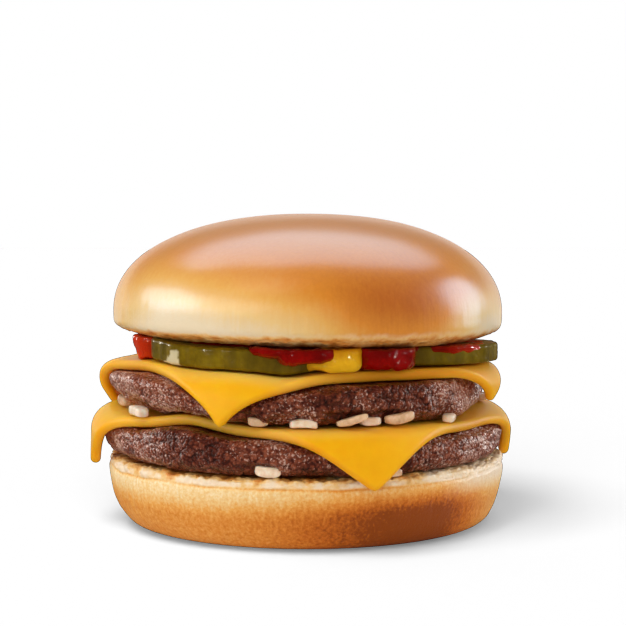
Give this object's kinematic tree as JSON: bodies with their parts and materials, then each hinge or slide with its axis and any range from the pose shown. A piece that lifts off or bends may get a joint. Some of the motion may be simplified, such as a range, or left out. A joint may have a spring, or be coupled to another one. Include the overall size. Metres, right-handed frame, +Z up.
{
  "type": "double cheeseburger",
  "caption": "Round sandwich of a domed crown, patties under draped square cheese slices, pickle, sauces and diced onion, on a flat heel.",
  "frame": {"origin": "centre of the heel's flat underside, on the surface that it rests on", "axes": "+Z up through the stack, -Y the front that shows a cheese corner of each slice"},
  "size_m": [0.1032, 0.1035, 0.075],
  "materials": {
    "heel_bread": "matte baked crust",
    "crown_bread": "glazed golden crust",
    "meat": "rough seared mince",
    "cheese": "soft satin",
    "pickle": "wet",
    "ketchup": "wet gloss",
    "mustard": "wet gloss",
    "onion": "moist, slightly translucent"
  },
  "bodies": {
    "root": {"cheese_lower": "cheese", "cheese_upper": "cheese", "crown": "crown_bread", "heel": "heel_bread", "ketchup": "ketchup", "mustard_back": "mustard", "mustard_front": "mustard", "mustard_side": "mustard", "onion_cheese_01": "onion", "onion_cheese_02": "onion", "onion_cheese_03": "onion", "onion_cheese_04": "onion", "onion_cheese_05": "onion", "onion_cheese_06": "onion", "onion_cheese_07": "onion", "onion_cheese_08": "onion", "onion_cheese_09": "onion", "onion_cheese_10": "onion", "onion_cheese_11": "onion", "onion_cheese_12": "onion", "onion_cheese_13": "onion", "onion_heel_01": "onion", "onion_heel_02": "onion", "onion_heel_03": "onion", "onion_heel_04": "onion", "onion_heel_05": "onion", "onion_heel_06": "onion", "onion_heel_07": "onion", "onion_heel_08": "onion", "patty_lower": "meat", "patty_upper": "meat", "pickle_back": "pickle", "pickle_left": "pickle", "pickle_right": "pickle"}
  },
  "joints": []
}
